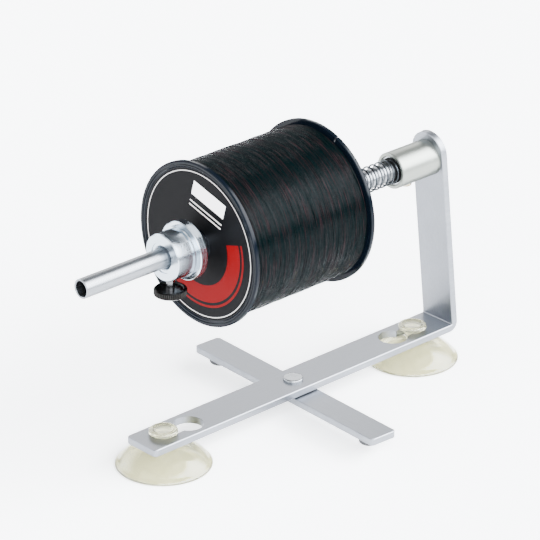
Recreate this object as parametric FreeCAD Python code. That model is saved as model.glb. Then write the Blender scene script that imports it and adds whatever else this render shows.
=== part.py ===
import FreeCAD, Part
import math
import os

# Fishing line winder with a spool of line on its shaft.
# All lengths are in millimetres. X runs from the shaft's free end towards the arm, Z is up,
# and Z = 0 is the bench under the suction cups. While building, X = 0 is the base bar's front end.

os.makedirs("parts", exist_ok=True)
V = FreeCAD.Vector

# Base bar and arm
base_length = 252.0
base_width = 26.0
bar_thickness = 4.6
base_lift = 14.8
arm_above_shaft = 16.4
arm_lean = 6.1
inner_bend = 0.6
outer_bend = 6.0
bar_corner = 2.5
bar_edge = 0.4

# Keyholes for the suction cups
front_cup_inset = 17.8
rear_cup_inset = 27.7
front_slot_length = 19.8
rear_slot_length = 16.9
hole_radius = 9.2
slot_clearance = 0.35

# Suction cups
cup_radius = 29.2
cup_rim_height = 1.6
cup_lip = 1.7
cup_shoulder_radius = 13.5
cup_shoulder_height = 12.6
cup_hollow = 8.6
cup_neck_radius = 4.5
cup_head_radius = 8.8
cup_head_height = 3.6
cup_gap = 0.3

# Cross bar, its pivot and its feet
pivot_x = 122.4
cross_length = 165.0
cross_width = 19.2
cross_thickness = 4.6
cross_angle = 2.6
pivot_radius = 3.0
pivot_head_radius = 6.1
pivot_head_height = 2.8
pivot_tail_radius = 5.0
pivot_tail_height = 1.4
washer_radius = 8.0
washer_thickness = 0.5
turning_gap = 0.05
foot_radius = 6.4
foot_height = 5.2
foot_round = 1.6
foot_inset = 13.0

# Shaft
shaft_height = 133.0
shaft_length = 270.4
shaft_radius = 6.0
shaft_wall = 1.2
tip_round = 0.4

# Housing and its screws
housing_length = 31.9
housing_radius = 11.5
mouth_chamfer = 0.5
housing_bore = 9.0
rear_wall = 6.6
screw_place = 13.2
screw_radius = 2.0
screw_head_radius = 3.8
screw_head_height = 2.6
screw_spot_depth = 0.6
groove_depth = 0.6
groove_width = 4.6
bolt_radius = 2.5
bolt_head_radius = 4.6
bolt_head_height = 3.0
bolt_socket = 2.0
bolt_washer_radius = 6.0
bolt_washer_thickness = 1.0
bolt_grip = 5.4
thread_clearance = 0.03

# Ball bearings
bearing_width = 4.0
race_wall = 1.0
ball_radius = 0.78
ball_clearance = 0.04
ball_count = 12
seal_thickness = 0.35
mouth_depth = 1.2
shaft_end_gap = 0.4

# Spring, its washer and the rear hub
washer_sink = 0.2
thrust_thickness = 0.8
thrust_radius = 8.2
spring_wire = 1.1
spring_radius = 7.5
spring_pitch = 4.85
spring_closing = 0.75
spring_length = 31.0
seat_gap = 0.05
sliding_gap = 0.05

# Front hub
boss_radius = 14.4
boss_length = 11.9
step_radius = 15.4
step_length = 2.4
flange_radius = 17.8
flange_length = 5.4
hub_edge = 0.5
face_recess = 0.5
recess_radius = 9.4
bore_chamfer = 1.5
rear_boss_radius = 10.4
rear_boss_length = 16.0

# Cones that centre the spool
cone_gap = 8.5
cone_slope = 0.176
cone_reach = 9.0
cone_fit = 0.03

# Thumbscrew
stud_radius = 2.4
knob_offset = 6.2
thumb_radius = 9.8
knob_height = 4.4
knob_dish = 0.8
knob_rim = 1.2
knob_ridges = 52
ridge_depth = 0.45

# Spool
spool_length = 94.8
spool_radius = 50.5
flange_web = 1.9
rim_step = 1.0
rim_width = 3.4
rim_round = 0.8
bead_width = 1.5
bead_groove = 0.35
bead_drop = 0.35
barrel_radius = 22.0
barrel_wall = 2.0
spool_bore = 9.0
label_thickness = 0.2
label_gap = 0.4
clip_width = 1.0
clip_depth = 5.0
clip_angle = 22.5
tie_hole_radius = 0.8
tie_hole_place = 45.9
tie_hole_angle = -6.6

# Line
line_tube = 3.0
line_radius = 47.6
line_turns = 24
line_side_gap = 0.5

# Places that follow from the sizes above
base_top = base_lift + bar_thickness
front_cup_x = front_cup_inset
rear_cup_x = base_length - rear_cup_inset
front_hole_x = front_cup_x + front_slot_length
rear_hole_x = rear_cup_x - rear_slot_length
foot_corner = V(base_length, 0, base_lift)
lean = math.radians(arm_lean)
arm_up = V(-math.sin(lean), 0, math.cos(lean))
arm_out = V(math.cos(lean), 0, math.sin(lean))
side = V(0, 1, 0)
axis = V(1, 0, 0)
up = V(0, 0, 1)
shaft_point = V(0, 0, shaft_height)

# Along the shaft, from the arm to the free end
inner_face = foot_corner - arm_out * bar_thickness
arm_meets_axis = inner_face + arm_up * ((shaft_height - inner_face.z) / arm_up.z)
arm_rise = (arm_meets_axis - foot_corner).dot(arm_up) + arm_above_shaft
arm_x = arm_meets_axis.x
bore_end = arm_x - rear_wall
housing_front = arm_x - housing_length
screw_x = housing_front + screw_place
bearing_front = housing_front + mouth_depth
bearing_rear = bore_end - shaft_end_gap - bearing_width
shaft_rear = bearing_rear + bearing_width + shaft_end_gap / 2
shaft_tip = shaft_rear - shaft_length
washer_front = housing_front + washer_sink
spring_front = washer_front - spring_length
rear_hub_end = spring_front - seat_gap
cone_face = rear_hub_end - rear_boss_length - step_length - flange_length - cone_gap
spool_rear = cone_face + rim_step
spool_front = spool_rear - spool_length
label_x = spool_front + rim_step
hub_front = label_x - cone_gap - flange_length - step_length - boss_length
thumb_x = hub_front + boss_length / 2

# Round the shaft
race_in = shaft_radius + race_wall
race_out = housing_bore - race_wall
ball_orbit = (race_in + race_out) / 2
cone_start = spool_bore - cone_fit + cone_slope * cone_gap
middle_x = (max(rear_cup_x + cup_radius, base_length) + shaft_tip) / 2


# Helpers
def turned(points, centre, direction=axis):
    """Solid of revolution from (distance along, radius) pairs."""
    other = up if abs(direction.dot(up)) < 0.5 else side
    across = (other - direction * other.dot(direction)).normalize()
    corners = [centre + direction * a + across * r for a, r in points]
    face = Part.Face(Part.makePolygon(corners + corners[:1]))
    return face.revolve(centre, direction, 360)


def rod(radius, start, length, direction):
    return Part.makeCylinder(radius, length, start, direction)


def ring(outer, inner, x, width):
    body = rod(outer, V(x, 0, shaft_height), width, axis)
    return body.cut(rod(inner, V(x - 1, 0, shaft_height), width + 2, axis))


def hub(x, direction, boss, length):
    """Hub with a boss, a step, a flange and a centring cone; x is the boss's end face."""
    a = length
    b = a + step_length
    c = b + flange_length
    d = c + cone_gap + cone_reach
    tip = cone_start - cone_slope * (cone_gap + cone_reach)
    points = [
        (0, recess_radius),
        (0, boss - hub_edge),
        (hub_edge, boss),
        (a, boss),
        (a, boss + (step_radius - boss_radius)),
        (b, boss + (step_radius - boss_radius)),
        (b, flange_radius - hub_edge),
        (b + hub_edge, flange_radius),
        (c - hub_edge, flange_radius),
        (c, flange_radius - hub_edge),
        (c, cone_start),
        (d, tip),
        (d, shaft_radius + sliding_gap),
        (face_recess + bore_chamfer, shaft_radius + sliding_gap),
        (face_recess, shaft_radius + sliding_gap + bore_chamfer),
        (face_recess, recess_radius),
    ]
    return turned(points, V(x, 0, shaft_height), direction)


def arc_edge(start, tangent, end):
    """Arc from start, along tangent, to end."""
    chord = end - start
    along = V(chord).normalize()
    bend = math.acos(max(-1.0, min(1.0, tangent.dot(along))))
    outward = tangent - along * tangent.dot(along)
    outward.normalize()
    middle = (start + end) * 0.5 + outward * (chord.Length / 2 * math.tan(bend / 2))
    return Part.Arc(start, middle, end).toShape()


def biarc(p0, t0, p1, t1):
    v = p1 - p0
    t = t0 + t1
    k = 2 * (1 - t0.dot(t1))
    d = (-v.dot(t) + math.sqrt(v.dot(t) ** 2 + k * v.dot(v))) / k
    join = (p0 + t0 * d + p1 - t1 * d) * 0.5
    return [arc_edge(p0, t0, join), arc_edge(p1, t1 * -1, join)]


def coil(radius, pitch, turns, wire, x, parts, closing=0):
    """Coil about the shaft's axis as one unbroken tube, on biarcs of 1/parts of a turn.

    The pitch grows from nothing over the closing turns at each end.
    """
    count = round(turns * parts)
    points = []
    tangents = []
    for i in range(count + 1):
        done = i / parts
        left = turns - done
        if done < closing:
            steepness = done / closing
            advance = done * steepness / 2
        elif left < closing:
            steepness = left / closing
            advance = turns - closing - left * steepness / 2
        else:
            steepness = 1
            advance = done - closing / 2
        turn = 2 * math.pi * done
        rise = pitch * steepness / (2 * math.pi)
        points.append(V(x + pitch * advance, radius * math.sin(turn), shaft_height + radius * math.cos(turn)))
        tangents.append(V(rise, radius * math.cos(turn), -radius * math.sin(turn)).normalize())
    first = points[0] - tangents[0] * wire
    last = points[-1] + tangents[-1] * wire
    edges = [Part.makeLine(first, points[0])]
    for i in range(count):
        edges += biarc(points[i], tangents[i], points[i + 1], tangents[i + 1])
    edges.append(Part.makeLine(points[-1], last))
    path = Part.Wire(Part.sortEdges(edges)[0])
    circle = Part.Wire(Part.makeCircle(wire / 2, first, tangents[0]))
    tube = path.makePipeShell([circle], True, False)
    return tube, path


def least_gap(path, wire, per_turn, turns):
    """Least gap between a coil and itself, measured on points of its centre line."""
    points = path.discretize(Number=int(turns * per_turn) + 1)
    skip = per_turn // 2
    least = 1e9
    for i in range(len(points)):
        for j in range(i + skip, min(i + 2 * per_turn, len(points))):
            least = min(least, points[i].distanceToPoint(points[j]))
    return least - wire


def arm_slab(start, depth):
    """Block behind the arm's inner face, from start outwards."""
    origin = inner_face + arm_out * start
    size = arm_rise * 2
    low = origin - arm_up * size + side * -size
    corners = [low, low + side * 2 * size, low + side * 2 * size + arm_up * 2 * size, low + arm_up * 2 * size]
    face = Part.Face(Part.makePolygon(corners + corners[:1]))
    return face.extrude(arm_out * depth)


def broken(solid, size, keep):
    """Break the edges that keep accepts."""
    edges = [e for e in solid.Edges if keep(e)]
    return solid.makeChamfer(size, edges)


def flat_ends(e, plane):
    return all(abs(abs(v.Y) - plane) < 0.01 for v in e.Vertexes)


# Base bar with its arm
corner_share = (1 + math.sin(lean)) / math.cos(lean)
outer_x = base_length - outer_bend * corner_share
outer_centre = V(outer_x, 0, base_lift + outer_bend)
inner_x = base_length - (inner_bend + bar_thickness) * corner_share
inner_centre = V(inner_x, 0, base_top + inner_bend)
half_angle = (lean - math.pi / 2) / 2
half_way = V(math.cos(half_angle), 0, math.sin(half_angle))
outer_top = foot_corner + arm_up * arm_rise
bar_profile = Part.Wire([
    Part.makeLine(V(0, 0, base_lift), V(outer_x, 0, base_lift)),
    Part.Arc(V(outer_x, 0, base_lift), outer_centre + half_way * outer_bend,
             outer_centre + arm_out * outer_bend).toShape(),
    Part.makeLine(outer_centre + arm_out * outer_bend, outer_top),
    Part.makeLine(outer_top, outer_top - arm_out * bar_thickness),
    Part.makeLine(outer_top - arm_out * bar_thickness, inner_centre + arm_out * inner_bend),
    Part.Arc(inner_centre + arm_out * inner_bend, inner_centre + half_way * inner_bend,
             V(inner_x, 0, base_top)).toShape(),
    Part.makeLine(V(inner_x, 0, base_top), V(0, 0, base_top)),
    Part.makeLine(V(0, 0, base_top), V(0, 0, base_lift)),
])
base_bar = Part.Face(bar_profile)
base_bar.translate(V(0, -base_width / 2, 0))
base_bar = base_bar.extrude(V(0, base_width, 0))
front_edges = [e for e in base_bar.Edges
               if all(abs(v.X) < 0.01 for v in e.Vertexes)
               and abs(e.Vertexes[0].Z - e.Vertexes[1].Z) > bar_thickness / 2]
base_bar = base_bar.makeFillet(bar_corner, front_edges)
round_centre = foot_corner + arm_up * (arm_rise - base_width / 2) - arm_out * (bar_thickness + 1)
above = Part.makeBox(bar_thickness + 2, base_width + 2, base_width,
                     round_centre - side * (base_width / 2 + 1), up)
above.rotate(round_centre, side, -arm_lean)
above = above.cut(rod(base_width / 2, round_centre - arm_out, bar_thickness + 4, arm_out))
base_bar = base_bar.cut(above)
base_bar = broken(base_bar, bar_edge, lambda e: flat_ends(e, base_width / 2) and e.Length > bar_thickness + 1)

slot_half = cup_neck_radius + slot_clearance
for hole_x, cup_x in ((front_hole_x, front_cup_x), (rear_hole_x, rear_cup_x)):
    low = V(min(hole_x, cup_x), -slot_half, base_lift - 1)
    base_bar = base_bar.cut(rod(hole_radius, V(hole_x, 0, base_lift - 1), bar_thickness + 2, up))
    base_bar = base_bar.cut(rod(slot_half, V(cup_x, 0, base_lift - 1), bar_thickness + 2, up))
    base_bar = base_bar.cut(Part.makeBox(abs(hole_x - cup_x), 2 * slot_half, bar_thickness + 2, low))
base_bar = base_bar.cut(rod(pivot_radius, V(pivot_x, 0, base_lift - 1), bar_thickness + 2, up))
bolt_start = arm_meets_axis - arm_out
base_bar = base_bar.cut(rod(bolt_radius + thread_clearance, bolt_start, bar_thickness + 2, arm_out))

# Pivot rivet and washer
rivet_points = [
    (pivot_head_height - 0.25, 0),
    (pivot_head_height, pivot_head_radius - 1.0),
    (pivot_head_height - 0.1, pivot_head_radius - 0.4),
    (pivot_head_height - 0.5, pivot_head_radius),
    (0, pivot_head_radius),
    (0, pivot_radius),
]
tail_top = base_lift - base_top - washer_thickness - cross_thickness - 2 * turning_gap
rivet_points += [
    (tail_top, pivot_radius),
    (tail_top, pivot_tail_radius),
    (tail_top - pivot_tail_height * 0.6, pivot_tail_radius),
    (tail_top - pivot_tail_height, pivot_tail_radius - 0.8),
    (tail_top - pivot_tail_height, 0),
]
pivot_rivet = turned(rivet_points, V(pivot_x, 0, base_top), up)
washer_bottom = base_lift - washer_thickness
pivot_washer = rod(washer_radius, V(pivot_x, 0, washer_bottom), washer_thickness, up)
pivot_washer = pivot_washer.cut(rod(pivot_radius, V(pivot_x, 0, washer_bottom - 1), washer_thickness + 2, up))

# Cross bar and feet
cross_top = washer_bottom - turning_gap
cross_bottom = cross_top - cross_thickness
cross_bar = Part.makeBox(cross_width, cross_length, cross_thickness,
                         V(pivot_x - cross_width / 2, -cross_length / 2, cross_bottom))
cross_bar = cross_bar.makeFillet(bar_corner, [e for e in cross_bar.Edges
                                              if abs(e.Vertexes[0].Z - e.Vertexes[1].Z) > cross_thickness / 2])
cross_bar = broken(cross_bar, bar_edge, lambda e: abs(e.Vertexes[0].Z - e.Vertexes[-1].Z) < 0.01)
cross_bar = cross_bar.cut(rod(pivot_radius + turning_gap, V(pivot_x, 0, cross_bottom - 1), cross_thickness + 2, up))
foot_y = cross_length / 2 - foot_inset
left_foot = rod(foot_radius, V(pivot_x, foot_y, cross_bottom - foot_height), foot_height, up)
left_foot = left_foot.makeFillet(foot_round, [e for e in left_foot.Edges
                                              if e.BoundBox.ZMax < cross_bottom - foot_height / 2])
right_foot = left_foot.copy()
right_foot.rotate(V(pivot_x, 0, 0), up, 180)
for piece in (cross_bar, left_foot, right_foot):
    piece.rotate(V(pivot_x, 0, 0), up, -cross_angle)


# Suction cups
def suction_cup(x):
    top = base_lift - cup_gap
    head_bottom = base_top + cup_gap
    shoulder = V(x + cup_shoulder_radius, 0, cup_shoulder_height)
    rim = V(x + cup_radius, 0, cup_rim_height)
    neck_foot = V(x + cup_neck_radius + 2.5, 0, top)
    bulge = (shoulder + rim) * 0.5 + V(1.3, 0, 1.5)
    lip = cup_radius - cup_lip
    crown = V(x, 0, cup_hollow)
    ball = (lip ** 2 + cup_hollow ** 2) / (2 * cup_hollow)
    half = math.asin(lip / ball) / 2
    hollow_middle = V(x + ball * math.sin(half), 0, cup_hollow - ball * (1 - math.cos(half)))
    head_top = head_bottom + cup_head_height
    r = cup_head_radius
    edges = [
        Part.makeLine(crown, V(x, 0, head_top - 0.9)),
        Part.makeLine(V(x, 0, head_top - 0.9), V(x + r * 0.5, 0, head_top - 0.9)),
        Part.makeLine(V(x + r * 0.5, 0, head_top - 0.9), V(x + r * 0.66, 0, head_top)),
        Part.makeLine(V(x + r * 0.66, 0, head_top), V(x + r - 0.7, 0, head_top)),
        Part.Arc(V(x + r - 0.7, 0, head_top), V(x + r - 0.2, 0, head_top - 0.2),
                 V(x + r, 0, head_top - 0.7)).toShape(),
        Part.makeLine(V(x + r, 0, head_top - 0.7), V(x + r, 0, head_bottom + 0.8)),
        Part.makeLine(V(x + r, 0, head_bottom + 0.8), V(x + r - 0.8, 0, head_bottom)),
        Part.makeLine(V(x + r - 0.8, 0, head_bottom), V(x + cup_neck_radius, 0, head_bottom)),
        Part.makeLine(V(x + cup_neck_radius, 0, head_bottom), V(x + cup_neck_radius, 0, top)),
        Part.makeLine(V(x + cup_neck_radius, 0, top), neck_foot),
        Part.Arc(neck_foot, (neck_foot + shoulder) * 0.5 + V(0.5, 0, 0.35), shoulder).toShape(),
        Part.Arc(shoulder, bulge, rim).toShape(),
        Part.makeLine(rim, V(x + cup_radius, 0, 0)),
        Part.makeLine(V(x + cup_radius, 0, 0), V(x + lip, 0, 0)),
        Part.Arc(V(x + lip, 0, 0), hollow_middle, crown).toShape(),
    ]
    return Part.Face(Part.Wire(edges)).revolve(V(x, 0, 0), up, 360)


front_suction_cup = suction_cup(front_cup_x)
rear_suction_cup = suction_cup(rear_cup_x)

# Bearing housing
housing_points = [
    (housing_front, housing_bore + 0.6),
    (housing_front, housing_radius - mouth_chamfer),
    (housing_front + mouth_chamfer, housing_radius),
    (arm_x + housing_radius, housing_radius),
    (arm_x + housing_radius, 0),
    (bore_end, 0),
    (bore_end, housing_bore),
    (housing_front + 0.6, housing_bore),
]
bearing_housing = turned(housing_points, shaft_point)
bearing_housing = bearing_housing.cut(arm_slab(0, 4 * housing_radius))
seat_z = shaft_height - housing_radius + screw_spot_depth
spot = rod(screw_head_radius + 0.3, V(screw_x, 0, seat_z - housing_radius), housing_radius, up)
bearing_housing = bearing_housing.cut(spot)
screw_hole = rod(screw_radius, V(screw_x, 0, seat_z - 1), housing_radius, up)
bearing_housing = bearing_housing.cut(screw_hole)
bolt_hole = rod(bolt_radius, arm_meets_axis + arm_out, bolt_grip + 1.3, arm_out * -1)
bearing_housing = bearing_housing.cut(bolt_hole)

# Screw that keeps the shaft in the housing
tip_z = shaft_height - shaft_radius + groove_depth - 0.2
screw_points = [
    (seat_z - screw_head_height, 0),
    (seat_z - screw_head_height + 0.1, screw_head_radius * 0.5),
    (seat_z - screw_head_height + 0.5, screw_head_radius * 0.85),
    (seat_z - screw_head_height + 1.1, screw_head_radius),
    (seat_z, screw_head_radius),
    (seat_z, screw_radius - thread_clearance),
    (tip_z - 0.5, screw_radius - thread_clearance),
    (tip_z, screw_radius - 0.5),
    (tip_z, 0),
]
retaining_screw = turned(screw_points, V(screw_x, 0, 0), up)
drive = Part.makeBox(screw_head_radius * 1.2, 0.9, 1.3,
                     V(screw_x - screw_head_radius * 0.6, -0.45, seat_z - screw_head_height - 0.1))
cross_drive = drive.copy()
cross_drive.rotate(V(screw_x, 0, 0), up, 90)
retaining_screw = retaining_screw.cut(drive.fuse(cross_drive))

# Bolt and washer behind the arm
outer_face = arm_meets_axis + arm_out * bar_thickness
bolt_washer = rod(bolt_washer_radius, outer_face, bolt_washer_thickness, arm_out)
bolt_washer = bolt_washer.cut(rod(bolt_radius, outer_face - arm_out, bolt_washer_thickness + 2, arm_out))
under_head = outer_face + arm_out * bolt_washer_thickness
bolt_points = [
    (-bolt_washer_thickness - bar_thickness - bolt_grip, 0),
    (-bolt_washer_thickness - bar_thickness - bolt_grip, bolt_radius - 0.6),
    (-bolt_washer_thickness - bar_thickness - bolt_grip + 0.6, bolt_radius - thread_clearance),
    (0, bolt_radius - thread_clearance),
    (0, bolt_head_radius),
    (bolt_head_height - 0.5, bolt_head_radius),
    (bolt_head_height, bolt_head_radius - 0.5),
    (bolt_head_height, 0),
]
housing_bolt = turned(bolt_points, under_head, arm_out)
socket_centre = under_head + arm_out * (bolt_head_height - bolt_socket)
hexagon = []
for i in range(7):
    a = math.radians(60 * i)
    hexagon.append(socket_centre + side * (2.3 * math.cos(a)) + arm_up * (2.3 * math.sin(a)))
housing_bolt = housing_bolt.cut(Part.Face(Part.makePolygon(hexagon)).extrude(arm_out * (bolt_socket + 1)))


# Ball bearings
def bearing(x, front_lip):
    centre = V(x + bearing_width / 2, 0, shaft_height)
    track = Part.makeTorus(ball_orbit, ball_radius + ball_clearance, centre, axis)
    outer = ring(housing_bore, race_out, x, bearing_width).cut(track)
    inner = ring(race_in, shaft_radius, x - front_lip, bearing_width + front_lip).cut(track)
    balls = []
    for i in range(ball_count):
        a = 2 * math.pi * (i + 0.5) / ball_count
        balls.append(Part.makeSphere(ball_radius, centre + V(0, ball_orbit * math.sin(a), ball_orbit * math.cos(a))))
    return outer, inner, Part.makeCompound(balls)


washer_back = washer_front + thrust_thickness
front_outer_race, front_inner_race, front_bearing_balls = bearing(bearing_front, bearing_front - washer_back)
rear_outer_race, rear_inner_race, rear_bearing_balls = bearing(bearing_rear, 0)
front_seal = ring(race_out, race_in + 0.04, bearing_front, seal_thickness)
rear_seal = ring(race_out, race_in + 0.04, bearing_rear, seal_thickness)
thrust_washer = ring(thrust_radius, shaft_radius, washer_front, thrust_thickness)

# Shaft
shaft_points = [
    (shaft_tip, shaft_radius - shaft_wall + tip_round),
    (shaft_tip, shaft_radius - tip_round),
    (shaft_tip + tip_round, shaft_radius),
    (screw_x - groove_width / 2, shaft_radius),
    (screw_x - groove_width / 2, shaft_radius - groove_depth),
    (screw_x + groove_width / 2, shaft_radius - groove_depth),
    (screw_x + groove_width / 2, shaft_radius),
    (shaft_rear, shaft_radius),
    (shaft_rear, shaft_radius - shaft_wall),
    (shaft_tip + tip_round, shaft_radius - shaft_wall),
]
shaft_tube = turned(shaft_points, shaft_point)

# Spool
web_back = label_x + flange_web
rear_web = spool_rear - rim_step - flange_web
rim_in = spool_radius - rim_width
rim_out = spool_radius - rim_round
groove_out = rim_out - bead_width
groove_in = groove_out - bead_groove
spool_points = [
    (spool_front + rim_step, rim_in - 0.6),
    (spool_front + bead_drop, rim_in),
    (spool_front + bead_drop, groove_in),
    (spool_front + 2 * bead_drop, groove_in),
    (spool_front + 2 * bead_drop, groove_out),
    (spool_front + 0.3, groove_out),
    (spool_front, groove_out + 0.3),
    (spool_front, rim_out),
    (spool_front + rim_round * 0.3, spool_radius - rim_round * 0.3),
    (spool_front + rim_round, spool_radius),
    (web_back - 0.4, spool_radius),
    (web_back, spool_radius - 0.4),
    (web_back, barrel_radius),
    (rear_web, barrel_radius),
    (rear_web, spool_radius - 0.4),
    (rear_web + 0.4, spool_radius),
    (spool_rear - rim_round, spool_radius),
    (spool_rear - rim_round * 0.3, spool_radius - rim_round * 0.3),
    (spool_rear, rim_out),
    (spool_rear, rim_in),
    (spool_rear - rim_step, rim_in - 0.6),
    (spool_rear - rim_step, spool_bore),
    (rear_web, spool_bore),
    (rear_web, barrel_radius - barrel_wall),
    (web_back, barrel_radius - barrel_wall),
    (web_back, spool_bore),
    (label_x, spool_bore),
]
spool = turned(spool_points, shaft_point)
clip = Part.makeBox(flange_web + rim_step + 2, clip_width, clip_depth * 2,
                    V(rear_web - 1, -clip_width / 2, shaft_height + spool_radius - clip_depth))
clip.rotate(shaft_point, axis, clip_angle)
tie_hole = rod(tie_hole_radius, V(rear_web - 1, 0, shaft_height + tie_hole_place), flange_web + rim_step + 2, axis)
tie_hole.rotate(shaft_point, axis, tie_hole_angle)
spool = spool.cut(clip).cut(tie_hole)
front_label = ring(rim_in - 0.6 - label_gap, spool_bore + 0.6, label_x - label_thickness, label_thickness)

# Line: a plain core with the outer layer wound round it
core_radius = line_radius - line_tube
line_core = ring(core_radius, barrel_radius, web_back, rear_web - web_back)
wind_radius = line_radius - line_tube / 2
line_room = rear_web - web_back - 2 * line_side_gap - line_tube
line_pitch = line_room / line_turns
line_start = web_back + line_side_gap + line_tube / 2
line_winding, line_path = coil(wind_radius, line_pitch, line_turns, line_tube, line_start, 2)
print("line winding, least gap to itself: %.2f mm" % least_gap(line_path, line_tube, 32, line_turns))

# Hubs
front_hub = hub(hub_front, axis, boss_radius, boss_length)
front_hub = front_hub.cut(rod(stud_radius + sliding_gap, V(thumb_x, 0, shaft_height), boss_radius + 2, up * -1))
rear_hub = hub(rear_hub_end, axis * -1, rear_boss_radius, rear_boss_length)

# Thumbscrew
stud_top = shaft_height - shaft_radius - sliding_gap
knob_top = shaft_height - boss_radius - knob_offset
knob_bottom = knob_top - knob_height
thumbscrew_stud = rod(stud_radius, V(thumb_x, 0, knob_bottom + 0.8), stud_top - knob_bottom - 0.8, up)
teeth = []
for i in range(2 * knob_ridges):
    a = math.pi * i / knob_ridges
    r = thumb_radius - (ridge_depth if i % 2 else 0)
    teeth.append(V(thumb_x + r * math.cos(a), r * math.sin(a), knob_bottom))
knurled = Part.Face(Part.makePolygon(teeth + teeth[:1])).extrude(V(0, 0, knob_height))
knob_shape = turned([
    (0, 0),
    (0, thumb_radius - 0.9),
    (0.7, thumb_radius + 0.1),
    (knob_height - 0.7, thumb_radius + 0.1),
    (knob_height, thumb_radius - 0.9),
    (knob_height, thumb_radius - knob_rim - 0.5),
    (knob_height - knob_dish, thumb_radius - knob_rim - 1.0),
    (knob_height - knob_dish, 0),
], V(thumb_x, 0, knob_bottom), up)
thumbscrew_knob = knurled.common(knob_shape)
stud_hole = rod(stud_radius + sliding_gap, V(thumb_x, 0, knob_bottom + 0.8 - sliding_gap), knob_height, up)
thumbscrew_knob = thumbscrew_knob.cut(stud_hole)

# Tension spring
spring_first = spring_front + seat_gap + spring_wire / 2
spring_last = washer_front - seat_gap - spring_wire / 2
spring_turns = round(((spring_last - spring_first) / spring_pitch + spring_closing) * 4) / 4
real_pitch = (spring_last - spring_first) / (spring_turns - spring_closing)
tension_spring, spring_path = coil(spring_radius, real_pitch, spring_turns, spring_wire, spring_first, 4,
                                   spring_closing)
print("tension spring, least gap to itself: %.2f mm" % least_gap(spring_path, spring_wire, 48, spring_turns))

# One STEP file for each node, with the origin under the middle of the whole
nodes = {
    "base_bar": base_bar,
    "pivot_rivet": pivot_rivet,
    "pivot_washer": pivot_washer,
    "cross_bar": cross_bar,
    "left_foot": left_foot,
    "right_foot": right_foot,
    "front_suction_cup": front_suction_cup,
    "rear_suction_cup": rear_suction_cup,
    "bearing_housing": bearing_housing,
    "retaining_screw": retaining_screw,
    "housing_bolt": housing_bolt,
    "bolt_washer": bolt_washer,
    "front_outer_race": front_outer_race,
    "front_inner_race": front_inner_race,
    "front_bearing_balls": front_bearing_balls,
    "front_seal": front_seal,
    "rear_outer_race": rear_outer_race,
    "rear_inner_race": rear_inner_race,
    "rear_bearing_balls": rear_bearing_balls,
    "rear_seal": rear_seal,
    "shaft_tube": shaft_tube,
    "thrust_washer": thrust_washer,
    "tension_spring": tension_spring,
    "rear_hub": rear_hub,
    "spool": spool,
    "front_label": front_label,
    "line_core": line_core,
    "line_winding": line_winding,
    "front_hub": front_hub,
    "thumbscrew_stud": thumbscrew_stud,
    "thumbscrew_knob": thumbscrew_knob,
}
for name, shape in nodes.items():
    shape.translate(V(-middle_x, 0, 0))
    shape.exportStep("parts/%s.step" % name)
    box = shape.BoundBox
    print("%-20s solids %2d valid %s volume %10.1f box x %.2f %.2f y %.2f %.2f z %.2f %.2f" % (
        name, len(shape.Solids), shape.isValid(), shape.Volume,
        box.XMin, box.XMax, box.YMin, box.YMax, box.ZMin, box.ZMax))
print("pivot x %.3f, front hole x %.3f, rear hole x %.3f, front cup x %.3f, rear cup x %.3f" % (
    pivot_x - middle_x, front_hole_x - middle_x, rear_hole_x - middle_x,
    front_cup_x - middle_x, rear_cup_x - middle_x))
print("shaft z %.3f, thumbscrew x %.3f, spring front %.3f, spring back %.3f, tip %.3f" % (
    shaft_height, thumb_x - middle_x, spring_front - middle_x, washer_front - middle_x,
    shaft_tip - middle_x))
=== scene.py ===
import bpy
import math
import random
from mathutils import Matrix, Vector, noise


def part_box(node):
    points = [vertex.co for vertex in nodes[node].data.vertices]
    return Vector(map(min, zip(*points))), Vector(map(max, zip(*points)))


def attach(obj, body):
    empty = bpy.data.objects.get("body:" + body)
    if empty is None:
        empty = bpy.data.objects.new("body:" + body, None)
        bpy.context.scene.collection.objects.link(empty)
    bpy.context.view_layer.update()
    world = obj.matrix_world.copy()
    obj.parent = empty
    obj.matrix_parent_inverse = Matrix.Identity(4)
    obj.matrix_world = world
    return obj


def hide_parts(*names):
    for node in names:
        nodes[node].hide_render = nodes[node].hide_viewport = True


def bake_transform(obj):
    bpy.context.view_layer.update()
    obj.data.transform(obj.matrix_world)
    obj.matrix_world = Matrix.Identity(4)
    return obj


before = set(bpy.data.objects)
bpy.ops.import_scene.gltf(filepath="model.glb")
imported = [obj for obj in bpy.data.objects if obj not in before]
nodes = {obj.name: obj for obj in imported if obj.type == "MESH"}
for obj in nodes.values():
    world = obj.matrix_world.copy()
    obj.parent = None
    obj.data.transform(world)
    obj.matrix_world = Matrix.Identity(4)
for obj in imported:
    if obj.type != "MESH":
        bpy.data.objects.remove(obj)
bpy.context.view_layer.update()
mm = 0.001
mmPerMetre = 1000.0
shaftMm = 133
shaftHeight = shaftMm * mm
print("frame loaded")


# Materials: in their dictionaries a noise is its scale, detail and roughness, and bumps are in mm

def linear(hexColour):
    values = [int(hexColour[i:i + 2], 16) / 255 for i in (1, 3, 5)]
    return [v / 12.92 if v <= 0.04045 else ((v + 0.055) / 1.055) ** 2.4 for v in values] + [1.0]


def addNode(tree, kind, inputs=None, **settings):
    node = tree.nodes.new("ShaderNode" + kind)
    for name, value in settings.items():
        setattr(node, name, value)
    for key, value in (inputs or {}).items():
        if isinstance(value, bpy.types.NodeSocket):
            tree.links.new(value, node.inputs[key])
        else:
            node.inputs[key].default_value = value
    return node


def newMaterial(name, colour, **sockets):
    material = bpy.data.materials.new(name)
    material.use_nodes = True
    tree = material.node_tree
    shader = tree.nodes["Principled BSDF"]
    shader.inputs["Base Color"].default_value = linear(colour)
    for key, value in sockets.items():
        shader.inputs[key.replace("_", " ")].default_value = value
    return material, tree, shader


def objectPlace(tree):
    return addNode(tree, "TexCoord").outputs["Object"]


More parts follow.
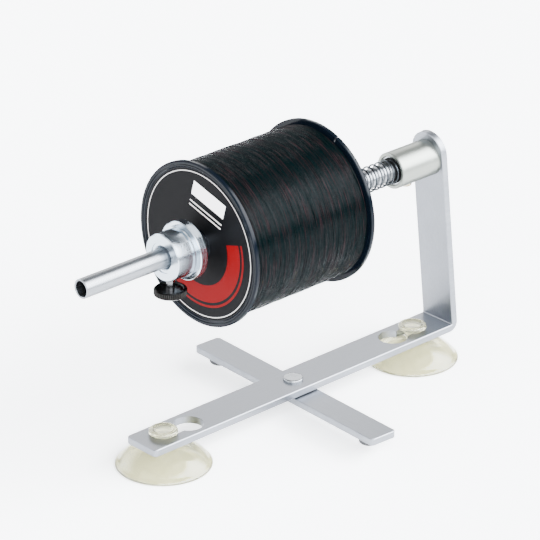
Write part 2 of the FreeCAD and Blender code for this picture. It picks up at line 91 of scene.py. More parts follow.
def doMath(tree, operation, a, b=0.0):
    return addNode(tree, "Math", {0: a, 1: b}, operation=operation).outputs[0]


def times(tree, a, b):
    return doMath(tree, "MULTIPLY", a, b)


def plus(tree, a, b):
    return doMath(tree, "ADD", a, b)


def minus(tree, a, b):
    return doMath(tree, "SUBTRACT", a, b)


def blended(tree, a, b, shareOfA):
    return plus(tree, times(tree, a, shareOfA), times(tree, b, 1 - shareOfA))


def between(tree, value, low, high):
    return times(tree, doMath(tree, "GREATER_THAN", value, low), doMath(tree, "LESS_THAN", value, high))


def split(tree, vector):
    parts = addNode(tree, "SeparateXYZ", {0: vector})
    return parts.outputs[0], parts.outputs[1], parts.outputs[2]


def join(tree, x, y, z):
    return addNode(tree, "CombineXYZ", {0: x, 1: y, 2: z}).outputs[0]


def fineNoise(tree, vector, scale, detail=3.0, roughness=0.6):
    inputs = {"Vector": vector, "Scale": scale, "Detail": detail, "Roughness": roughness}
    return addNode(tree, "TexNoise", inputs).outputs["Fac"]


def ramp(tree, value, stops):
    node = addNode(tree, "ValToRGB", {"Fac": value})
    elements = node.color_ramp.elements
    while len(elements) < len(stops):
        elements.new(0.5)
    for element, (position, colour) in zip(elements, stops):
        element.position = position
        element.color = linear(colour)
    return node.outputs["Color"]


def spread(tree, value, low, high, fromLow=0.25, fromHigh=0.75):
    inputs = {"Value": value, "From Min": fromLow, "From Max": fromHigh, "To Min": low, "To Max": high}
    return addNode(tree, "MapRange", inputs).outputs["Result"]


def addBump(tree, shader, height, distance):
    bump = addNode(tree, "Bump", {"Height": height, "Distance": distance, "Strength": 1.0})
    tree.links.new(bump.outputs["Normal"], shader.inputs["Normal"])


# Distance along the shaft, radius and angle round it
def aroundShaft(tree):
    x, y, z = split(tree, objectPlace(tree))
    up = minus(tree, z, shaftHeight)
    squares = plus(tree, times(tree, y, y), times(tree, up, up))
    return x, doMath(tree, "SQRT", squares), doMath(tree, "ARCTAN2", y, up)


# Roughness, colour and bump of a metal, all from one pattern
def wearMetal(tree, shader, pattern, light, dark, rough, look, bump):
    lowest, highest = look["roughness"]
    darkStop, lightStop = look["stops"]
    roughness = spread(tree, pattern, rough * lowest, rough * highest)
    colours = ramp(tree, pattern, [(darkStop, dark), (lightStop, light)])
    tree.links.new(roughness, shader.inputs["Roughness"])
    tree.links.new(colours, shader.inputs["Base Color"])
    addBump(tree, shader, pattern, bump * mm)


barLook = {
    "colour": "#73767c",
    "colours": [(0.35, "#6d7076"), (0.65, "#7b7e83")],
    "roughness": (0.3, 0.42, 0.3, 0.7),
    "acrossStretch": 60.0,
    "upStretch": 8.0,
    "grain": (45.0, 4.0),
    "clouds": (38.0, 2.0),
    "grainShare": 0.6,
    "bump": 0.003,
}


def barAluminium(name, lengthAlongY):
    # Satin rolled bar: fine grain along its length, faint cloudy handling marks
    material, tree, shader = newMaterial(name, barLook["colour"], Metallic=1.0)
    x, y, z = split(tree, objectPlace(tree))
    along, across = (y, x) if lengthAlongY else (plus(tree, x, z), y)
    grainPlace = join(tree, times(tree, across, barLook["acrossStretch"]), along,
                      times(tree, z, barLook["upStretch"]))
    grain = fineNoise(tree, grainPlace, *barLook["grain"])
    clouds = fineNoise(tree, objectPlace(tree), *barLook["clouds"])
    mixed = blended(tree, grain, clouds, barLook["grainShare"])
    tree.links.new(spread(tree, mixed, *barLook["roughness"]), shader.inputs["Roughness"])
    tree.links.new(ramp(tree, mixed, barLook["colours"]), shader.inputs["Base Color"])
    addBump(tree, shader, grain, barLook["bump"] * mm)
    return material


turnedLook = {
    "roughness": (0.8, 1.35),
    "stops": (0.3, 0.65),
    "angleStretch": 0.25,
    "detail": 5.0,
    "noiseRoughness": 0.7,
}


def turnedMetal(name, light, dark, rough, ringsPerMm, bump, **sockets):
    # Lathe-turned metal: fine rings round the axis that streak the highlight
    material, tree, shader = newMaterial(name, light, Metallic=1.0, **sockets)
    x, radius, angle = aroundShaft(tree)
    ringPlace = join(tree, times(tree, x, mmPerMetre), times(tree, radius, mmPerMetre),
                     times(tree, angle, turnedLook["angleStretch"]))
    rings = fineNoise(tree, ringPlace, ringsPerMm, turnedLook["detail"], turnedLook["noiseRoughness"])
    wearMetal(tree, shader, rings, light, dark, rough, turnedLook, bump)
    return material


drawnLook = {
    "roughness": (0.7, 1.5),
    "stops": (0.3, 0.7),
    "alongStretch": 12.0,
    "angleStretch": 9.0,
    "lines": (6.0, 4.0),
    "bump": 0.003,
}


def drawnSteel(name, light, dark, rough):
    # Polished drawn tube: long faint lines along it
    material, tree, shader = newMaterial(name, light, Metallic=1.0)
    x, radius, angle = aroundShaft(tree)
    linePlace = join(tree, times(tree, x, drawnLook["alongStretch"]),
                     times(tree, angle, drawnLook["angleStretch"]), radius)
    lines = fineNoise(tree, linePlace, *drawnLook["lines"])
    wearMetal(tree, shader, lines, light, dark, rough, drawnLook, drawnLook["bump"])
    return material


platedLook = {
    "roughness": (0.75, 1.4),
    "stops": (0.3, 0.7),
    "detail": 4.0,
    "bump": 0.004,
}


def platedSteel(name, light, dark, rough, speckle=900.0):
    # Plated small hardware: soft gloss with slight mottling of the plating
    material, tree, shader = newMaterial(name, light, Metallic=1.0)
    mottling = fineNoise(tree, objectPlace(tree), speckle, platedLook["detail"])
    wearMetal(tree, shader, mottling, light, dark, rough, platedLook, platedLook["bump"])
    return material


knob = {
    "x": -80.879,
    "ridges": 52,
    "edge": 8.9,
    # groove and crest colours: painted shade in the grooves and the dish, painted highlight on the knurl
    # crests
    "grooveShade": "#121211",
    "crestHighlight": "#282726",
    "crestHighlightSpread": (0.0, 1.0, 0.0, 0.9),
    "crestMottling": (0.7, 1.0),
    "mottling": (500.0, 4.0),
    "roughness": (0.16, 0.28),
    "bump": 0.003,
}


def knurledNickel(name):
    # Black nickel on the knob: painted shade in the dish and the grooves, painted highlight on the crests
    # of the knurl, mottled in strength
    material, tree, shader = newMaterial(name, knob["grooveShade"], Metallic=1.0)
    x, y, _ = split(tree, objectPlace(tree))
    away = minus(tree, x, knob["x"] * mm)
    squares = plus(tree, times(tree, away, away), times(tree, y, y))
    wave = doMath(tree, "COSINE", times(tree, doMath(tree, "ARCTAN2", y, away), knob["ridges"]))
    onEdge = doMath(tree, "GREATER_THAN", doMath(tree, "SQRT", squares), knob["edge"] * mm)
    # painted highlight on the crests of the knurl round the rim, mottled; the grooves and the dish keep the
    # painted shade colour
    crestHighlight = times(tree, spread(tree, wave, *knob["crestHighlightSpread"]), onEdge)
    mottling = fineNoise(tree, objectPlace(tree), *knob["mottling"])
    mottledCrestHighlight = times(tree, crestHighlight, spread(tree, mottling, *knob["crestMottling"]))
    colours = ramp(tree, mottledCrestHighlight, [(0.0, knob["grooveShade"]), (1.0, knob["crestHighlight"])])
    tree.links.new(colours, shader.inputs["Base Color"])
    tree.links.new(spread(tree, mottling, *knob["roughness"]), shader.inputs["Roughness"])
    addBump(tree, shader, mottling, knob["bump"] * mm)
    return material


plasticLook = {
    "specular": 0.06,
    "flow": (160.0, 3.0),
    "scuffs": (2600.0, 2.0),
    "flowShare": 0.7,
    "roughness": (0.7, 1.5),
    "mixRange": (0.3, 0.7),
}


def blackPlastic(name, colour, rough, bump):
    # Moulded black plastic: faint flow marks and fine scuffs, kept dark where it turns away
    material, tree, shader = newMaterial(name, colour, Specular_IOR_Level=plasticLook["specular"])
    place = objectPlace(tree)
    flow = fineNoise(tree, place, *plasticLook["flow"])
    scuffs = fineNoise(tree, place, *plasticLook["scuffs"])
    mixed = blended(tree, flow, scuffs, plasticLook["flowShare"])
    lowest, highest = plasticLook["roughness"]
    roughness = spread(tree, mixed, rough * lowest, rough * highest, *plasticLook["mixRange"])
    tree.links.new(roughness, shader.inputs["Roughness"])
    addBump(tree, shader, mixed, bump * mm)
    return material


rubberLook = {
    "colour": "#121417",
    "colours": [(0.35, "#0c0e10"), (0.75, "#1d2023")],
    "roughness": (0.5, 0.75),
    "grain": (2200.0, 4.0),
    "bump": 0.03,
}


def blackRubber(name):
    # Moulded rubber: matt, fine pebbled skin, greyer where it is rubbed
    material, tree, shader = newMaterial(name, rubberLook["colour"])
    grain = fineNoise(tree, objectPlace(tree), *rubberLook["grain"])
    tree.links.new(spread(tree, grain, *rubberLook["roughness"]), shader.inputs["Roughness"])
    tree.links.new(ramp(tree, grain, rubberLook["colours"]), shader.inputs["Base Color"])
    addBump(tree, shader, grain, rubberLook["bump"] * mm)
    return material


satinBar = barAluminium("satin_aluminium_bar", lengthAlongY=False)
satinCrossBar = barAluminium("satin_aluminium_cross_bar", lengthAlongY=True)
turnedAluminium = turnedMetal("turned_aluminium", "#a7b0b8", "#98a2ab", rough=0.2, ringsPerMm=3.0,
                              bump=0.0007, Anisotropic=0.5)
housingAluminium = turnedMetal("satin_turned_aluminium", "#7e817b", "#757872", rough=0.33,
                               ringsPerMm=5.0, bump=0.0006)
bearingSteel = turnedMetal("bearing_steel", "#9ea1a3", "#84888a", rough=0.2, ringsPerMm=6.0, bump=0.003)
shaftSteel = drawnSteel("polished_steel_tube", "#7c7f83", "#707377", rough=0.27)
zincSteel = platedSteel("zinc_plated_steel", "#a69c82", "#80765f", rough=0.2)
studSteel = platedSteel("dark_plated_steel", "#68696b", "#505153", rough=0.2)
rivetZinc = platedSteel("zinc_plated_rivet", "#84878a", "#75787b", rough=0.2, speckle=500.0)
# Spring wire coloured far darker than its light grey: painted shade for the dim space between the spool and
# the housing
shadedSpringSteel = platedSteel("spring_steel", "#3a3e41", "#2d3033", rough=0.28, speckle=1500.0)
blackNickel = knurledNickel("black_nickel")
spoolPlastic = blackPlastic("black_polystyrene", "#03060b", rough=0.14, bump=0.01)
blackNylon = blackPlastic("black_nylon", "#0c0c0d", rough=0.45, bump=0.02)
rubber = blackRubber("black_rubber")

dressed = {
    "base_bar": satinBar,
    "cross_bar": satinCrossBar,
    "pivot_washer": blackNylon,
    "left_foot": rubber,
    "right_foot": rubber,
    "bearing_housing": housingAluminium,
    "retaining_screw": zincSteel,
    "housing_bolt": zincSteel,
    "bolt_washer": zincSteel,
    "front_outer_race": bearingSteel,
    "front_inner_race": bearingSteel,
    "front_bearing_balls": bearingSteel,
    "rear_outer_race": bearingSteel,
    "rear_inner_race": bearingSteel,
    "rear_bearing_balls": bearingSteel,
    "front_seal": rubber,
    "rear_seal": rubber,
    "shaft_tube": shaftSteel,
    "thrust_washer": blackNylon,
    "front_hub": turnedAluminium,
    "rear_hub": turnedAluminium,
    "thumbscrew_stud": studSteel,
    "thumbscrew_knob": blackNickel,
    "spool": spoolPlastic,
}


def dress(node, material):
    piece = nodes[node]
    if not piece.material_slots:
        piece.data.materials.append(material)
    for slot in piece.material_slots:
        slot.material = material


for node, material in dressed.items():
    dress(node, material)
print("hard pieces dressed")


# Printed label: radii and panel sizes in mm, angles in degrees

label = {
    "ring": (44.35, 44.85),
    "redArc": (25.0, 35.5),
    "thinArc": (37.2, 38.6),
    "arcTurn": 205.0,
    "arcHalf": 82.0,
    "panelMiddle": (9.0, 31.0),
    "panelHalf": (14.0, 4.6),
    "panelTilt": -16.0,
    "stripes": ((-9.4, -8.5), (-12.2, -11.3)),
    "colour": "#050506",
    "blacks": [(0.3, "#030304"), (0.7, "#060607")],
    "red": "#4e0002",
    "light": "#a3a09d",
    "panel": "#dcdad8",
    "specular": 0.025,
    "grain": (3000.0, 2.0),
    "roughness": (0.35, 0.5),
    "bump": 0.006,
}


def labelPrint():
    # Black card with red arcs, a thin light ring, an empty pale panel and two stripes, hardly glossy so
    # that the black stays deep
    material, tree, shader = newMaterial("printed_label", label["colour"],
                                         Specular_IOR_Level=label["specular"])
    _, radius, angle = aroundShaft(tree)
    radiusMm = times(tree, radius, mmPerMetre)
    turned = minus(tree, angle, math.radians(label["arcTurn"]))
    wrapped = addNode(tree, "Math", {0: turned, 1: math.pi, 2: -math.pi}, operation="WRAP").outputs[0]
    nearest = doMath(tree, "ABSOLUTE", wrapped)
    inArc = doMath(tree, "LESS_THAN", nearest, math.radians(label["arcHalf"]))
    broad = times(tree, between(tree, radiusMm, *label["redArc"]), inArc)
    thin = times(tree, between(tree, radiusMm, *label["thinArc"]), inArc)
    red = doMath(tree, "MAXIMUM", broad, thin)
    ring = between(tree, radiusMm, *label["ring"])
    _, y, z = split(tree, objectPlace(tree))
    middleY, middleZ = label["panelMiddle"]
    tilt = math.radians(label["panelTilt"])
    sideways = minus(tree, times(tree, y, -mmPerMetre), middleY)
    upward = minus(tree, times(tree, z, mmPerMetre), shaftMm + middleZ)
    u = plus(tree, times(tree, sideways, math.cos(tilt)), times(tree, upward, math.sin(tilt)))
    v = minus(tree, times(tree, upward, math.cos(tilt)), times(tree, sideways, math.sin(tilt)))
    halfWide, halfHigh = label["panelHalf"]
    inWidth = between(tree, u, -halfWide, halfWide)
    panel = times(tree, inWidth, between(tree, v, -halfHigh, halfHigh))
    stripes = 0.0
    for low, high in label["stripes"]:
        stripes = doMath(tree, "MAXIMUM", stripes, times(tree, inWidth, between(tree, v, low, high)))
    grain = fineNoise(tree, objectPlace(tree), *label["grain"])
    colour = ramp(tree, grain, label["blacks"])
    inks = ((red, "red"), (ring, "light"), (stripes, "light"), (panel, "panel"))
    for mask, ink in inks:
        mix = addNode(tree, "Mix", {"Factor": mask, "A": colour, "B": linear(label[ink])}, data_type="RGBA")
        colour = mix.outputs["Result"]
    tree.links.new(colour, shader.inputs["Base Color"])
    tree.links.new(spread(tree, grain, *label["roughness"]), shader.inputs["Roughness"])
    addBump(tree, shader, grain, label["bump"] * mm)
    return material


dress("front_label", labelPrint())
print("label printed")


# Modelling helpers

def activate(piece):
    bpy.ops.object.select_all(action="DESELECT")
    piece.select_set(True)
    bpy.context.view_layer.objects.active = piece


def applyAll(piece):
    activate(piece)
    for modifier in list(piece.modifiers):
        bpy.ops.object.modifier_apply(modifier=modifier.name)
    bpy.ops.object.transform_apply(location=True, rotation=True, scale=True)


def smooth(piece, degrees):
    activate(piece)
    bpy.ops.object.shade_smooth_by_angle(angle=math.radians(degrees))


def paint(piece, material):
    piece.data.materials.clear()
    piece.data.materials.append(material)


# Doubles merged, then normals turned outwards
def weld(piece, distance):
    activate(piece)
    bpy.ops.object.mode_set(mode="EDIT")
    bpy.ops.mesh.select_all(action="SELECT")
    bpy.ops.mesh.remove_doubles(threshold=distance)
    bpy.ops.mesh.normals_make_consistent(inside=False)
    bpy.ops.object.mode_set(mode="OBJECT")


# An open chain of points in the XZ plane: a circle without its last edge
def openChain(name, points):
    bpy.ops.object.select_all(action="DESELECT")
    bpy.ops.mesh.primitive_circle_add(vertices=len(points), fill_type="NOTHING")
    piece = bpy.context.object
    piece.name = piece.data.name = name
    for vertex, (x, z) in zip(piece.data.vertices, points):
        vertex.co = (x, 0, z)
    bpy.ops.object.mode_set(mode="EDIT")
    bpy.ops.mesh.select_all(action="DESELECT")
    bpy.ops.object.mode_set(mode="OBJECT")
    last = len(points) - 1
    for edge in piece.data.edges:
        edge.select = set(edge.vertices) == {0, last}
    bpy.ops.object.mode_set(mode="EDIT")
    bpy.ops.mesh.select_mode(type="EDGE")
    bpy.ops.mesh.delete(type="EDGE_FACE")
    bpy.ops.mesh.select_mode(type="VERT")
    bpy.ops.object.mode_set(mode="OBJECT")
    return piece


# A whole turned piece about the Z axis, from its outline of radii and heights in mm
def spun(name, shape):
    piece = openChain(name, [(radius * mm, height * mm) for radius, height in shape["outline"]])
    bpy.ops.object.mode_set(mode="EDIT")
    bpy.ops.mesh.select_all(action="SELECT")
    bpy.ops.mesh.spin(steps=shape["steps"], angle=2 * math.pi, center=(0, 0, 0), axis=(0, 0, 1))
    bpy.ops.object.mode_set(mode="OBJECT")
    weld(piece, shape["weld"] * mm)
    return piece


# A curve without splines yet, for round wire or line
def newWire(name):
    bpy.ops.object.select_all(action="DESELECT")
    bpy.ops.curve.primitive_bezier_curve_add()
    piece = bpy.context.object
    piece.name = name
    piece.data.splines.clear()
    return piece


# The curve made round and solid, as a mesh
def roundWire(piece, radius, resolution):
    piece.data.bevel_depth = radius
    piece.data.bevel_resolution = resolution
    piece.data.use_fill_caps = True
    activate(piece)
    bpy.ops.object.convert(target="MESH")
    piece = bpy.context.object
    piece.data.name = piece.name
    applyAll(piece)
    return piece


# Pivot rivet, its head lower than in the frame and slightly dished

rivet = {
    "steps": 72,
    "weld": 0.01,
    "smooth": 45,
    "outline": [
        (0.0, 0.0), (4.2, 0.0), (4.75, 0.25), (5.0, 0.7), (5.0, 1.4), (3.0, 1.4), (3.0, 11.2), (5.9, 11.2),
        (6.1, 11.3), (6.1, 12.25), (6.02, 12.5), (5.8, 12.72), (5.5, 12.84), (5.0, 12.88), (3.4, 12.84),
        (1.6, 12.75), (0.0, 12.72),
    ],
}


def makeRivet():
    low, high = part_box("pivot_rivet")
    piece = spun("low_head_rivet", rivet)
    piece.location = ((low[0] + high[0]) / 2, (low[1] + high[1]) / 2, low[2])
    applyAll(piece)
    smooth(piece, rivet["smooth"])
    paint(piece, rivetZinc)
    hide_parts("pivot_rivet")
    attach(piece, "frame")


makeRivet()
print("rivet made")


# Suction cups

cup = {
    "steps": 96,
    "weld": 0.01,
    "subdivisions": 1,
    "smooth": 60,
    "outline": [
        (0.0, 8.7), (7.0, 8.1), (14.0, 6.3), (20.5, 3.6), (25.5, 1.0), (27.5, 0.0), (28.6, 0.0),
        (29.1, 0.35), (29.15, 1.1), (28.7, 1.75), (27.9, 2.5), (27.1, 3.05), (26.5, 3.75), (24.6, 5.9),
        (21.6, 8.4), (18.0, 10.7), (14.5, 12.3), (11.0, 13.3), (8.0, 13.9), (5.6, 14.2), (4.5, 14.7),
        (4.45, 17.0), (4.5, 19.5), (4.9, 19.85), (7.2, 19.9), (8.2, 20.2), (8.7, 20.9), (8.75, 21.9),
        (8.45, 22.8), (7.7, 23.2), (6.8, 23.2), (6.2, 22.9), (5.6, 22.35), (4.2, 22.2), (2.0, 22.15),
        (0.0, 22.1),
    ],
}

pvcLook = {
    "colour": "#efebc8",
    "colours": [(0.3, "#cfcda6"), (0.7, "#dddaba")],
    "ior": 1.5,
    "transmission": 0.93,
    "roughness": (0.05, 0.16, 0.3, 0.7),
    "flow": (220.0, 3.0),
    "dust": (1800.0, 3.0),
    "flowShare": 0.6,
    "bump": 0.05,
}


def clearPvc():
    # Clear soft PVC: yellowish in the thickness, faint haze, moulding flow and dust on the skin
    material, tree, shader = newMaterial("clear_pvc", pvcLook["colour"], IOR=pvcLook["ior"],
                                         Transmission_Weight=pvcLook["transmission"])
    flow = fineNoise(tree, objectPlace(tree), *pvcLook["flow"])
    dust = fineNoise(tree, objectPlace(tree), *pvcLook["dust"])
    mixed = blended(tree, flow, dust, pvcLook["flowShare"])
    tree.links.new(spread(tree, mixed, *pvcLook["roughness"]), shader.inputs["Roughness"])
    tree.links.new(ramp(tree, flow, pvcLook["colours"]), shader.inputs["Base Color"])
    addBump(tree, shader, flow, pvcLook["bump"] * mm)
    return material


pvc = clearPvc()


def makeCup(name, node, body):
    low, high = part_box(node)
    piece = spun(name, cup)
    piece.location = ((low[0] + high[0]) / 2, (low[1] + high[1]) / 2, 0)
    soften = piece.modifiers.new("soften", "SUBSURF")
    soften.levels = soften.render_levels = cup["subdivisions"]
    applyAll(piece)
    smooth(piece, cup["smooth"])
    paint(piece, pvc)
    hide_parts(node)
    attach(piece, body)


makeCup("front_clear_cup", "front_suction_cup", "front_cup")
makeCup("rear_clear_cup", "rear_suction_cup", "rear_cup")
print("suction cups made")


# Tension spring: open coils, drawn together over the last part of a turn at each end

spring = {
    "wire": 1.1,
    "radius": 7.5,
    "pitch": 4.85,
    "closing": 0.75,
    "partsOfTurn": 4,
    "pointsPerTurn": 32,
    "bevel": 3,
    "smooth": 60,
}


def makeSpring():
    low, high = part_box("tension_spring")
    wire = spring["wire"] * mm
    radius = spring["radius"] * mm
    first = low[0] + wire / 2
    last = high[0] - wire / 2
    closing = spring["closing"]
    parts = spring["partsOfTurn"]
    turns = round(((last - first) / (spring["pitch"] * mm) + closing) * parts) / parts
    pitch = (last - first) / (turns - closing)
    count = round(turns * spring["pointsPerTurn"])
    piece = newWire("coiled_spring")
    spline = piece.data.splines.new("POLY")
    spline.points.add(count)
    for i in range(count + 1):
        done = i / spring["pointsPerTurn"]
        left = turns - done
        if done < closing:
            advance = done * done / closing / 2
        elif left < closing:
            advance = turns - closing - left * left / closing / 2
        else:
            advance = done - closing / 2
        angle = 2 * math.pi * done
        spline.points[i].co = (first + pitch * advance, radius * math.sin(angle),
                               shaftHeight + radius * math.cos(angle), 1)
    piece = roundWire(piece, wire / 2, spring["bevel"])
    smooth(piece, spring["smooth"])
    paint(piece, shadedSpringSteel)
    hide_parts("tension_spring")
    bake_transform(piece)


makeSpring()
print("spring made")


# Line on the spool, in mm: the wave and the ripple lift the turns, the wander shifts them sideways, and
# near the flanges, within the hold, they sink and stay in place

line = {
    "turns": 150,
    "steps": 64,
    "radius": 47.35,
    "sideGap": 0.06,
    "ridge": 0.2,
    "profile": ((0, -1), (0.15, -0.25), (0.35, 0.75), (0.65, 0.75), (0.85, -0.25), (1, -1)),
    "wave": 0.3,
    "waveScale": 0.11,
    "ripple": 0.12,
    "rippleScale": 1.9,
    "wander": 0.45,
    "wanderScale": 0.35,
    "roundScale": 2.2,
    "hold": 2.0,
    "sink": 0.5,
    "weld": 0.005,
    "smooth": 70,
}

nylonLook = {
    "colour": "#0c0908",
    "colours": [(0.38, "#000303"), (0.5, "#010708"), (0.57, "#0b0708"), (0.66, "#1d0f12")],
    "specular": 0.029,
    "roughness": (0.07, 0.22, 0.35, 0.65),
    "angleStretch": 0.8,
    "streaks": (0.9, 4.0, 0.7),
    "turns": (2.6, 2.0, 0.5),
    "streakShare": 0.4,
    "bump": 0.3,
}


def lineNylon():
    # Dark nylon line: near black, turn by turn redder or greener, with duller patches
    material, tree, shader = newMaterial("dark_nylon_line", nylonLook["colour"],
                                         Specular_IOR_Level=nylonLook["specular"])
    x, _, angle = aroundShaft(tree)
    streakPlace = join(tree, times(tree, x, mmPerMetre), times(tree, angle, nylonLook["angleStretch"]), 0.0)
    streaks = fineNoise(tree, streakPlace, *nylonLook["streaks"])
    turns = fineNoise(tree, streakPlace, *nylonLook["turns"])
    mixed = blended(tree, streaks, turns, nylonLook["streakShare"])
    tree.links.new(ramp(tree, mixed, nylonLook["colours"]), shader.inputs["Base Color"])
    tree.links.new(spread(tree, mixed, *nylonLook["roughness"]), shader.inputs["Roughness"])
    addBump(tree, shader, streaks, nylonLook["bump"] * mm)
    return material


nylon = lineNylon()
dress("line_core", nylon)


def wander(x, angle, scale):
    around = line["roundScale"]
    return noise.noise(Vector((x / mm * scale, math.cos(angle) * around, math.sin(angle) * around)))


def waviness(x, angle):
    wave = line["wave"] * wander(x, angle, line["waveScale"])
    return wave + line["ripple"] * wander(x, angle, line["rippleScale"])


# One continuous winding from flange to flange
def makeLine():
    low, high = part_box("line_core")
    gap = line["sideGap"] * mm
    start = low[0] + gap
    length = high[0] - low[0] - 2 * gap
    pitch = length / (line["turns"] + 1)
    radius = line["radius"] * mm
    ridge = line["ridge"] * mm
    points = [(start + share * pitch, radius + rise * ridge) for share, rise in line["profile"]]
    piece = openChain("wound_line", points)
    piece.location = (0, 0, shaftHeight)
    screw = piece.modifiers.new("turns", "SCREW")
    screw.axis = "X"
    screw.angle = 2 * math.pi
    screw.screw_offset = pitch
    screw.iterations = line["turns"]
    screw.steps = screw.render_steps = line["steps"]
    screw.use_merge_vertices = False
    applyAll(piece)
    weld(piece, line["weld"] * mm)
    for vertex in piece.data.vertices:
        x, y, up = vertex.co.x, vertex.co.y, vertex.co.z - shaftHeight
        angle = math.atan2(y, up)
        edge = min(x - low[0], high[0] - x) / mm
        hold = min(1.0, max(0.0, edge / line["hold"]))
        rise = waviness(x, angle) - line["sink"] * (1 - hold)
        distance = math.hypot(y, up) + rise * mm
        vertex.co.x = x + hold * line["wander"] * mm * wander(x, angle, line["wanderScale"])
        vertex.co.y = distance * math.sin(angle)
        vertex.co.z = shaftHeight + distance * math.cos(angle)
    smooth(piece, line["smooth"])
    paint(piece, nylon)
    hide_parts("line_winding")
    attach(piece, "line_spool")
    return low, high


# Loose turns on top, which cross the others at a slant and dive under at both ends

strands = {
    "count": 70,
    "seed": 11,
    "radius": 0.17,
    "bevel": 1,
    "firstStart": 3,
    "startSpan": 83,
    "drift": 9,
    "shortest": 60,
    "sweepSpan": 200,
    "pointsPerRadian": 14,
    "fewestPoints": 12,
    "sway": 0.25,
    "swayScale": 0.5,
    "sideGap": 1.2,
    "lift": 0.12,
    "dive": 0.25,
    "divePower": 8,
    "smooth": 80,
}


def makeStrands(low, high):
    draw = random.Random(strands["seed"])
    side = strands["sideGap"] * mm
    piece = newWire("crossing_line")
    for _ in range(strands["count"]):
        startX = low[0] + (strands["firstStart"] + draw.random() * strands["startSpan"]) * mm
        drift = (draw.random() - 0.5) * strands["drift"] * mm
        startAngle = draw.random() * 2 * math.pi
        sweep = math.radians(strands["shortest"] + strands["sweepSpan"] * draw.random())
        count = max(strands["fewestPoints"], int(sweep * strands["pointsPerRadian"]))
        spline = piece.data.splines.new("POLY")
        spline.points.add(count)
        for k in range(count + 1):
            share = k / count
            angle = startAngle + sweep * share
            sway = strands["sway"] * mm * wander(startX, angle, strands["swayScale"])
            x = startX + drift * (share - 0.5) + sway
            x = min(max(x, low[0] + side), high[0] - side)
            turned = math.atan2(math.sin(angle), math.cos(angle))
            dive = strands["dive"] * (2 * share - 1) ** strands["divePower"]
            distance = (line["radius"] + waviness(x, turned) + strands["lift"] - dive) * mm
            spline.points[k].co = (x, distance * math.sin(angle),
                                   shaftHeight + distance * math.cos(angle), 1)
    piece = roundWire(piece, strands["radius"] * mm, strands["bevel"])
    smooth(piece, strands["smooth"])
    paint(piece, nylon)
    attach(piece, "line_spool")


makeStrands(*makeLine())
print("line wound")


# Camera, floor and light: angles in degrees, azimuth 0 in front of the object

# The direction from the object towards a camera or light
def towards(azimuth, elevation):
    turn = math.radians(azimuth)
    lift = math.radians(elevation)
    return Vector((math.sin(turn) * math.cos(lift), -math.cos(turn) * math.cos(lift), math.sin(lift)))


def placeFacing(name, data, aim, settings):
    back = towards(settings["azimuth"], settings["elevation"])
    placed = bpy.data.objects.new(name, data)
    placed.location = aim + back * settings["distance"]
    placed.rotation_euler = back.to_track_quat("Z", "Y").to_euler()
    bpy.context.collection.objects.link(placed)
    return placed


camera = {
    "azimuth": -42.95,
    "elevation": 25.07,
    "distance": 2.1819,
    "target": (40.17, 45.54, 69.4),
    "lens": 237.66,
    "clip": (0.05, 100),
}


def addCamera():
    data = bpy.data.cameras.new("camera")
    data.lens = camera["lens"]
    data.clip_start, data.clip_end = camera["clip"]
    bpy.context.scene.camera = placeFacing("camera", data, Vector(camera["target"]) * mm, camera)


paper = {
    "size": 14,
    "below": 0.05,
    "fade": (0.8, 1.6),
    "colour": "#fbfbfb",
    "colours": [(0.0, "#fbfbfb"), (1.0, "#6a6c6e")],
    "glows": [(0.0, "#ffffff"), (1.0, "#202020")],
    "glow": 0.6,
    "roughness": 0.85,
}


def addFloor():
    # Matt paper sweep: even and pale under the object, fading to grey well outside the picture
    bpy.ops.object.select_all(action="DESELECT")
    bpy.ops.mesh.primitive_plane_add(size=paper["size"], location=(0, 0, -paper["below"] * mm))
    floor = bpy.context.object
    floor.name = "floor"
    material, tree, shader = newMaterial("pale_floor", paper["colour"], Roughness=paper["roughness"])
    x, y, _ = split(tree, objectPlace(tree))
    away = addNode(tree, "VectorMath", {0: join(tree, x, y, 0.0)}, operation="LENGTH").outputs["Value"]
    fade = spread(tree, away, 0.0, 1.0, *paper["fade"])
    tree.links.new(ramp(tree, fade, paper["colours"]), shader.inputs["Base Color"])
    tree.links.new(ramp(tree, fade, paper["glows"]), shader.inputs["Emission Color"])
    shader.inputs["Emission Strength"].default_value = paper["glow"]
    floor.data.materials.append(material)


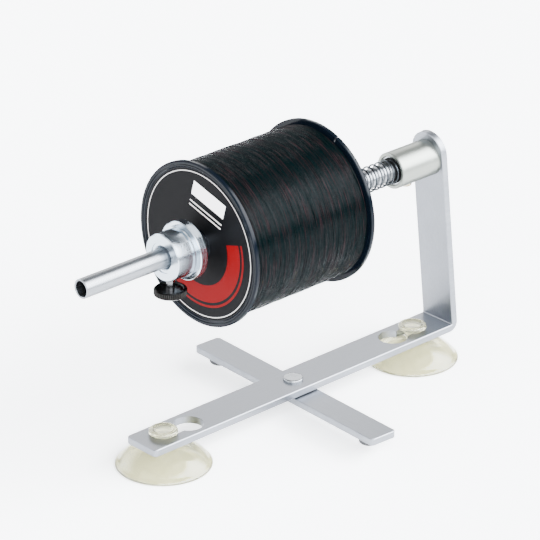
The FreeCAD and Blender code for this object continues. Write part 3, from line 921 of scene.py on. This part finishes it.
softboxes = {
    "left": {"azimuth": -95, "elevation": 35, "distance": 1.8, "size": (1.0, 1.2), "watts": 10},
    "right": {"azimuth": 50, "elevation": 27, "distance": 2.0, "size": (0.9, 1.2), "watts": 20},
    "back": {"azimuth": 137, "elevation": 25, "distance": 2.2, "size": (2.0, 0.9), "watts": 30},
}
softboxAim = (0, 0, 0.1)


def addSoftbox(name, settings):
    data = bpy.data.lights.new(name, "AREA")
    data.shape = "RECTANGLE"
    data.size, data.size_y = settings["size"]
    data.energy = settings["watts"]
    placeFacing(name, data, Vector(softboxAim), settings)


# Angles round the object in radians, heights as the sine of the elevation
studio = {
    "greys": [(0.0, "#6a6d71"), (0.25, "#8e9194"), (0.6, "#9c9ea1")],
    "dim": 1.0,
    "wall": 86.0,
    "leftEdge": (-1.1, -0.8),
    "rightEdge": (1.3, 1.6),
    "lowEdge": (0.1, 0.15),
    "topEdge": (0.77, 0.83),
    "fillShare": 0.4,
    "fillTop": (0.4, 0.65),
    "fillSide": (-0.2, 0.2),
}


def addWorld():
    # Dim grey all round, a wide wall of light in front of the object and a weaker, lower fill to its left
    world = bpy.data.worlds.new("studio")
    bpy.context.scene.world = world
    world.use_nodes = True
    tree = world.node_tree
    background = tree.nodes["Background"]
    x, y, z = split(tree, addNode(tree, "TexCoord").outputs["Generated"])
    turn = doMath(tree, "ARCTAN2", x, times(tree, y, -1.0))
    front = times(tree, spread(tree, turn, 0.0, 1.0, *studio["leftEdge"]),
                  spread(tree, turn, 1.0, 0.0, *studio["rightEdge"]))
    lifted = times(tree, spread(tree, z, 0.0, 1.0, *studio["lowEdge"]),
                   spread(tree, z, 1.0, 0.0, *studio["topEdge"]))
    fill = times(tree, spread(tree, z, studio["fillShare"], 0.0, *studio["fillTop"]),
                 spread(tree, x, 1.0, 0.0, *studio["fillSide"]))
    wall = times(tree, doMath(tree, "MAXIMUM", front, fill), lifted)
    strength = plus(tree, times(tree, wall, studio["wall"]), studio["dim"])
    tree.links.new(ramp(tree, z, studio["greys"]), background.inputs["Color"])
    tree.links.new(strength, background.inputs["Strength"])


addCamera()
addFloor()
for name, settings in softboxes.items():
    addSoftbox(name, settings)
addWorld()
print("stage set")
